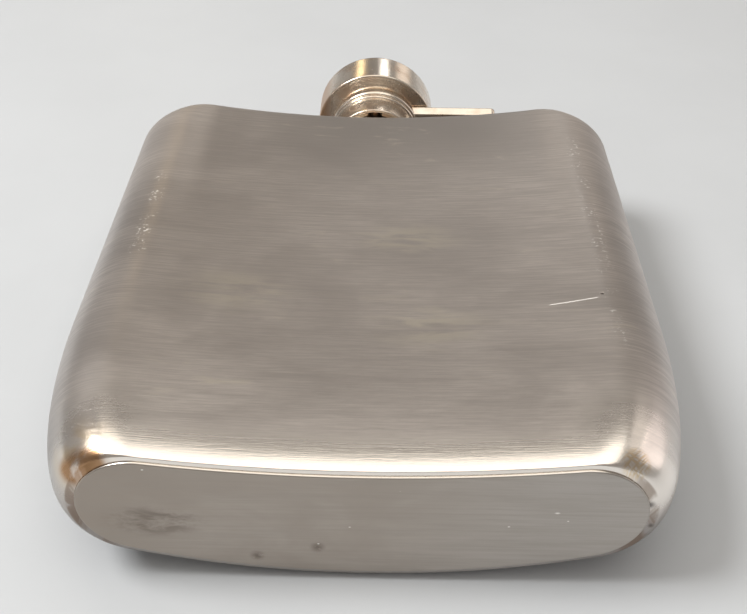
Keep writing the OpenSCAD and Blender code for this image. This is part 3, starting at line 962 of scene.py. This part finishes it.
class FLASK_OT_hinge(FlaskOperator, bpy.types.Operator):
    """Build the hinge's foot, its two ears and its pin"""
    bl_idname = "flask.hinge"
    bl_label = "Hinge"

    def execute(self, context):
        sizes = context.scene.flask_neck
        self.foot(context)
        self.ears(context, sizes)
        self.pin(context, sizes)
        return {"FINISHED"}

    def foot(self, context):
        low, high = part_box("hinge_foot")
        half_x, half_z, thick = (high.x - low.x) / 2, (high.z - low.z) / 2, high.y - low.y
        corner, solder, edge = 1.5 * MM, 0.3 * MM, 0.28 * MM
        steps = [*quarter_round(solder, 5), (0.0, thick * 0.55)]
        steps += [(-up, thick - aside) for aside, up in quarter_round(edge, 5)]
        steps += [(-0.5 * MM, thick)]
        points = []
        for grow, h in steps:
            for sx, sz, start in ((1, 1, 0), (-1, 1, 90), (-1, -1, 180), (1, -1, 270)):
                centre = (sx * (half_x - corner), sz * (half_z - corner))
                for x, z in circle_outline(corner + grow, centre, 10, start, start + 90):
                    points.append((HINGE_X + x, SHOULDER_Y + h, NECK_Z + z))
        piece(context, "hinge_foot", points, loft_faces(len(steps), len(points) // len(steps)))

    def ears(self, context, sizes):
        low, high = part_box("hinge_ears")
        _, foot_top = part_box("hinge_foot")
        ear = 1.6 * MM
        pivot = (HINGE_X, SHOULDER_Y + HINGE_H)
        waist, waist_y = sizes.knuckle * 0.86, pivot[1] - 1.6 * sizes.knuckle
        outline = circle_outline(sizes.knuckle, pivot, 28, -12, 192)
        outline += [(pivot[0] - waist, waist_y), (low.x, foot_top.y), (high.x, foot_top.y),
                    (pivot[0] + waist, waist_y)]
        hole = circle_outline(sizes.pin, pivot, 40)
        ears = loose_prism(context, outline, low.z, low.z + ear)
        combined(ears, [loose_prism(context, outline, high.z - ear, high.z)], "UNION")
        combined(ears, [loose_prism(context, hole, low.z - 1 * MM, high.z + 1 * MM)], "DIFFERENCE")
        eased_edges(ears, 0.16 * MM)
        ears.name = ears.data.name = "hinge_ears"
        dressed(context, ears, "hinge_ears")

    def pin(self, context, sizes):
        ears_low, ears_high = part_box("hinge_ears")
        pin_frame = Matrix.Translation((HINGE_X, SHOULDER_Y + HINGE_H, 0))
        head, soft, drop = (PIN_HIGH.x - PIN_LOW.x) / 2, 0.2 * MM, 0.22 * MM
        corners = [(0, PIN_LOW.z, 0), (head * 0.45, PIN_LOW.z, soft), (head * 0.85, PIN_LOW.z + drop, soft),
                   (head, ears_low.z, 0), (sizes.pin, ears_low.z, 0), (sizes.pin, ears_high.z, 0),
                   (head, ears_high.z, 0), (head * 0.85, PIN_HIGH.z - drop, soft),
                   (head * 0.45, PIN_HIGH.z, soft), (0, PIN_HIGH.z, 0)]
        turned(context, "hinge_pin", corners, pin_frame, closed=False, turns=PIN_TURNS)


class FLASK_OT_arm(FlaskOperator, bpy.types.Operator):
    """Build the swivel ring and the hinged arm that carries it"""
    bl_idname = "flask.arm"
    bl_label = "Swinging arm"

    def execute(self, context):
        sizes = context.scene.flask_neck
        r, low, high = placed("swivel_ring")
        bore, full = sizes.ring_bore, (high - low) / 2 * 0.92
        turned(context, "swivel_ring",
               [(bore, low, 0.08 * MM), (r, low, full), (r, high, full), (bore, high, 0.08 * MM)])
        self.strap(context, sizes, r, low, high)
        return {"FINISHED"}

    def strap(self, context, sizes, ring_r, ring_low, ring_high):
        low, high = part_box("hinge_arm")
        top = high.y - SHOULDER_Y
        thick = (ring_high - ring_low) - (ring_high - top) * 2
        root, tip = (high.z - low.z) / 2, 2.5 * MM
        middle, half = top - thick / 2, thick / 2
        leg_x = HINGE_X + sizes.leg / 2 - half
        turn_r = 2 * MM - half
        bend_x, bend_h = leg_x - turn_r, middle - turn_r

        # The strap's centre line and outward direction, over the bend and down the leg
        rows = [((bend_x - 1.5 * MM, middle), (0.0, 1.0)), ((bend_x, middle), (0.0, 1.0))]
        for t in np.linspace(0, math.pi / 2, 9)[1:]:
            out = (math.sin(t), math.cos(t))
            rows.append(((bend_x + turn_r * out[0], bend_h + turn_r * out[1]), out))
        rows.append(((leg_x, HINGE_H + 0.4 * MM), (1.0, 0.0)))
        section = softened([(side * tip, up * half, thick * 0.38)
                            for side, up in ((-1, -1), (1, -1), (1, 1), (-1, 1))], steps=4)
        points = [(x + out[0] * p.y, SHOULDER_Y + h + out[1] * p.y, NECK_Z + p.x)
                  for (x, h), out in rows for p in section]
        arm = piece(context, "hinge_arm", points, loft_faces(len(rows), len(section)))
        pivot = (HINGE_X, SHOULDER_Y + HINGE_H)
        knuckle = loose_prism(context, circle_outline(sizes.knuckle, pivot, 64), NECK_Z - tip, NECK_Z + tip)
        bore = loose_prism(context, circle_outline(sizes.pin + 0.05 * MM, pivot, 48),
                           NECK_Z - 2 * tip, NECK_Z + 2 * tip)
        flat = self.strap_plate(context, ring_r - 0.3 * MM, root, bend_x, middle, thick)
        combined(arm, [knuckle, flat], "UNION")
        combined(arm, [bore], "DIFFERENCE")
        eased_edges(arm, 0.14 * MM, 50.0)
        coat(context, arm, "hinge_arm")

    def strap_plate(self, context, reach, root, end_x, middle, thick):
        """The flat part of the strap: its edges slope on the side that faces the shoulder."""
        corner = 1.0 * MM
        # How far the edge stands in, in millimetres, at each part of the thickness
        slope = ((0.85, 0.0), (0.74, 0.04), (0.12, 0.74), (0.03, 0.86), (0.0, 0.94), (0.05, 0.98),
                 (0.12, 1.0))
        loops = []
        for inset, part in slope:
            half = root - inset * MM
            spread = math.degrees(math.asin(half / reach))
            plan = circle_outline(reach, (0, 0), 24, -spread, spread)
            for side, start in ((1, 90), (-1, 0)):
                centre = (end_x - corner, side * (half - corner))
                plan += circle_outline(corner, centre, 6, start, start - 90)
            loops.append([NECK_FRAME @ Vector((x, y, middle + (part - 0.5) * thick)) for x, y in plan])
        return loose(context, [p for loop in loops for p in loop], loft_faces(len(loops), len(loops[0])))


class FLASK_OT_cap_outside(FlaskOperator, bpy.types.Operator):
    """Build the cap's drum, underplate, retaining bead and skirt"""
    bl_idname = "flask.cap_outside"
    bl_label = "Cap, outside"

    def execute(self, context):
        sizes = context.scene.flask_neck
        inner = sizes.skirt_bore
        r, low, high = placed("cap_skirt")
        turned(context, "cap_skirt",
               [(inner, low, 0.12 * MM), (r, low, 0.28 * MM), (r, high, 0.1 * MM), (inner, high, 0)])
        r, low, high = placed("cap_retaining_bead")
        full = (high - low) / 2 * 0.95
        turned(context, "cap_retaining_bead",
               [(inner, low, 0), (r, low, full), (r, high, full), (inner, high, 0)])
        r, low, high = placed("cap_underplate")
        turned(context, "cap_underplate",
               [(inner, low, 0.1 * MM), (r, low, 0.05 * MM), (r, high, 0), (inner, high, 0)])
        self.drum(context, sizes)
        return {"FINISHED"}

    def drum(self, context, sizes):
        r, low, high = placed("cap_shell")
        wall, edge, crown = sizes.cap_wall, sizes.cap_edge, sizes.crown
        reach = r - edge
        dome_r = (reach ** 2 + crown ** 2) / (2 * crown)
        tilt = math.asin(reach / dome_r)
        edge_h = high - crown - edge
        side = softened([(r - wall, edge_h, 0), (r - wall, low, 0.12 * MM), (r, low, 0.3 * MM),
                         (r, edge_h, 0)], closed=False)
        corner = [Vector((reach + edge * math.cos(t), edge_h + edge * math.sin(t)))
                  for t in np.linspace(0, math.pi / 2 - tilt, 12)[1:]]
        dome = [Vector((dome_r * math.sin(t), high - dome_r + dome_r * math.cos(t)))
                for t in np.linspace(tilt, 0, 22)[1:]]
        under = [Vector((0, high - wall)), Vector((reach * 0.98, high - crown - wall))]
        profile = side + corner + dome + under
        profile = [p for i, p in enumerate(profile) if i == 0 or (p - profile[i - 1]).length > 1e-7]
        points, faces, lay = turned_mesh(profile, False, DRUM_TURNS)
        last = len(points) - DRUM_TURNS
        faces += [(last + k, last + (k + 1) % DRUM_TURNS, (k + 1) % DRUM_TURNS, k)
                  for k in range(DRUM_TURNS)]
        piece(context, "cap_shell", [NECK_FRAME @ p for p in points], faces, lay)


class FLASK_OT_cap_inside(FlaskOperator, bpy.types.Operator):
    """Build the bayonet sleeve with its two slots, the cork and the disc behind it"""
    bl_idname = "flask.cap_inside"
    bl_label = "Cap, inside"

    def execute(self, context):
        sizes = context.scene.flask_neck
        self.sleeve(context, sizes)
        r, low, high = placed("cap_cork")
        turned(context, "cap_cork", [(0, low, 0), (r, low, 0.35 * MM), (r, high, 0), (0, high, 0)],
               closed=False)
        r, low, high = placed("cap_cork_backing")
        turned(context, "cap_cork_backing", [(0, low, 0), (r, low, 0), (r, high, 0.1 * MM), (0, high, 0)],
               closed=False)
        return {"FINISHED"}

    def sleeve(self, context, sizes):
        """A thin tube whose wall is left out in two L-shaped slots."""
        r, low, high = placed("cap_bayonet_sleeve")
        bore = sizes.sleeve_bore
        half = math.asin((sizes.lug + 0.35 * MM) / bore)
        wide = half + math.radians(1)
        turn = math.radians(frame["joints"][1]["range_deg"][1])
        slot_half = sizes.lug + 0.25 * MM
        slot_low, slot_high = sizes.lug_height - slot_half, sizes.lug_height + slot_half
        sides = (math.pi / 2, 3 * math.pi / 2)
        marks = [side + edge for side in sides for edge in (-turn - wide, -half, half, wide)]
        angles = sorted(a % (2 * math.pi) for a in marks)
        fine = []
        for a, b in zip(angles, angles[1:] + [angles[0] + 2 * math.pi]):
            steps = max(1, round((b - a) / math.radians(2.5)))
            fine += list(np.linspace(a, b, steps, endpoint=False))
        heights = [low, slot_low, slot_high, high]

        def cut(angle, h):
            """Whether a slot takes away the wall at this angle and height."""
            for side in sides:
                away = (angle - side + math.pi) % (2 * math.pi) - math.pi
                if abs(away) < half and h < slot_high:
                    return True
                if -turn - wide < away < wide and slot_low < h < slot_high:
                    return True
            return False

        count = len(fine)
        points = [Vector((rr * math.cos(a), rr * math.sin(a), h))
                  for rr in (bore, r) for h in heights for a in fine]

        def at(skin, level, k):
            """The number of a point on the inner or outer skin."""
            return (skin * len(heights) + level) * count + k % count

        solid = {}
        for level in range(len(heights) - 1):
            for k in range(count):
                nxt = fine[(k + 1) % count] + (2 * math.pi if k == count - 1 else 0)
                solid[level, k] = not cut((fine[k] + nxt) / 2, (heights[level] + heights[level + 1]) / 2)
        faces = []
        for level, k in (cell for cell, there in solid.items() if there):
            near_low, far_low = (level, k), (level, k + 1)
            near_up, far_up = (level + 1, k), (level + 1, k + 1)
            for skin in (0, 1):
                faces.append(tuple(at(skin, *corner) for corner in (near_low, far_low, far_up, near_up)))
            for neighbour, a, b in (((level - 1, k), near_low, far_low), ((level + 1, k), near_up, far_up),
                                    ((level, (k - 1) % count), near_low, near_up),
                                    ((level, (k + 1) % count), far_low, far_up)):
                if not solid.get(neighbour, False):
                    faces.append((at(0, *a), at(0, *b), at(1, *b), at(1, *a)))
        used = sorted({i for face in faces for i in face})
        number = {i: n for n, i in enumerate(used)}
        kept = [NECK_FRAME @ points[i] for i in used]
        piece(context, "cap_bayonet_sleeve", kept, [tuple(number[i] for i in face) for face in faces],
              sharp_deg=25.0)


TABLE_HALF = 1.6
# Name, place, aim, size, watts and colour of each soft lamp
LAMPS = (
    ("ceiling_softbox", (0.0, -0.02, 0.80), (0, 0, 0), (0.95, 0.90), 3.05, (1.0, 0.955, 0.87)),
    ("window", (-0.50, -0.04, 0.68), (0, 0, 0), (0.34, 0.34), 5.6, (1.0, 0.985, 0.96)),
    ("front_softbox", (0.07, -0.56, 0.70), (0, 0, 0), (0.62, 0.30), 0.6, (1.0, 0.95, 0.88)),
    ("right_card", (0.80, 0.18, 0.25), (0, 0, 0.02), (0.52, 0.60), 0.58, (1.0, 0.90, 0.87)),
    ("right_wall", (0.57, 0.29, 0.53), (0, 0, 0.02), (0.34, 0.34), 0.17, (1.0, 0.93, 0.86)),
    ("far_card", (0.46, 1.205, 0.31), (0, 0.05, 0.02), (0.22, 0.42), 0.20, (1.0, 0.85, 0.72)),
    ("far_lamp_white", (0.155, 1.23, 0.56), (0, 0.05, 0.02), (0.17, 0.17), 0.36, (1.0, 0.98, 0.95)),
    ("far_lamp_warm", (-0.32, 1.23, 0.48), (0, 0.05, 0.02), (0.17, 0.17), 0.27, (1.0, 0.76, 0.43)),
)


class FLASK_OT_stage(FlaskOperator, bpy.types.Operator):
    """Build the table, the studio lights and the camera"""
    bl_idname = "flask.stage"
    bl_label = "Table, lights and camera"

    def execute(self, context):
        self.table(context)
        self.sky(context)
        self.lamps(context)
        self.camera(context)
        return {"FINISHED"}

    def table(self, context):
        mesh = bpy.data.meshes.new("table")
        corners = [(x * TABLE_HALF, y * TABLE_HALF, 0) for x, y in ((-1, -1), (1, -1), (1, 1), (-1, 1))]
        mesh.from_pydata(corners, [], [(0, 1, 2, 3)])
        made = bpy.data.objects.new("table", mesh)
        context.scene.collection.objects.link(made)
        mesh.materials.append(material_named("pale_table", context))

    def sky(self, context):
        world = bpy.data.worlds.new("studio")
        context.scene.world = world
        world.use_nodes = True
        studio = Nodes(world.node_tree)
        up = studio.place("Generated")[2]
        walls = studio.mixed(up.between(0.0, 0.62), (0.34, 0.325, 0.31), (0.22, 0.2, 0.182))
        colour = studio.mixed(up.between(0.62, 1.0), walls, (0.26, 0.245, 0.23))
        studio.feed(world.node_tree.nodes["Background"], "Color", colour)

    def lamps(self, context):
        for name, spot, aim, size, power, colour in LAMPS:
            lamp = bpy.data.lights.new(name, "AREA")
            lamp.shape = "ELLIPSE" if max(size) < 0.9 else "RECTANGLE"
            lamp.size, lamp.size_y = size
            lamp.energy = power
            lamp.color = colour
            made = bpy.data.objects.new(name, lamp)
            context.scene.collection.objects.link(made)
            made.location = spot
            made.rotation_euler = (Vector(spot) - Vector(aim)).to_track_quat("Z", "Y").to_euler()
            made.visible_camera = False

    def camera(self, context):
        data = bpy.data.cameras.new("camera")
        data.sensor_width = 36.0
        data.lens = 50.6
        made = bpy.data.objects.new("camera", data)
        context.scene.collection.objects.link(made)
        pitch, yaw, roll = 0.662, 0.0136, 0.0083
        made.location = (2.56 * MM, PLATE_Y - 88.95 * MM, 115.85 * MM)
        made.rotation_euler = (Matrix.Rotation(yaw, 3, "Z") @ Matrix.Rotation(math.pi / 2 - pitch, 3, "X")
                               @ Matrix.Rotation(roll, 3, "Z")).to_euler()
        context.scene.camera = made
        context.scene.view_settings.view_transform = "Standard"


class FLASK_PT_panel(bpy.types.Panel):
    """The flask's pieces, sizes and finishes in the sidebar"""
    bl_idname = "FLASK_PT_panel"
    bl_label = "Hip flask"
    bl_space_type = "VIEW_3D"
    bl_region_type = "UI"
    bl_category = "Flask"

    def draw(self, context):
        for made in OPERATORS:
            self.layout.operator(made.bl_idname)
        for group in (context.scene.flask_body, context.scene.flask_neck, context.scene.flask_finish):
            box = self.layout.box()
            for name in group.__annotations__:
                box.prop(group, name)


OPERATORS = (FLASK_OT_stage, FLASK_OT_shells, FLASK_OT_base_plate, FLASK_OT_neck, FLASK_OT_hinge,
             FLASK_OT_arm, FLASK_OT_cap_outside, FLASK_OT_cap_inside)
CLASSES = (FlaskBodySizes, FlaskNeckSizes, FlaskFinish, *OPERATORS, FLASK_PT_panel)


def register():
    """Adds the properties, the operators and the panel."""
    for made in CLASSES:
        bpy.utils.register_class(made)
    bpy.types.Scene.flask_body = PointerProperty(type=FlaskBodySizes)
    bpy.types.Scene.flask_neck = PointerProperty(type=FlaskNeckSizes)
    bpy.types.Scene.flask_finish = PointerProperty(type=FlaskFinish)


def unregister():
    """Takes them away again."""
    for name in ("flask_finish", "flask_neck", "flask_body"):
        delattr(bpy.types.Scene, name)
    for made in reversed(CLASSES):
        bpy.utils.unregister_class(made)


def main():
    """Builds everything."""
    register()
    bpy.ops.flask.stage()
    bpy.ops.flask.shells()
    bpy.ops.flask.base_plate()
    bpy.ops.flask.neck()
    bpy.ops.flask.hinge()
    bpy.ops.flask.arm()
    bpy.ops.flask.cap_outside()
    bpy.ops.flask.cap_inside()


if __name__ == "__main__":
    main()
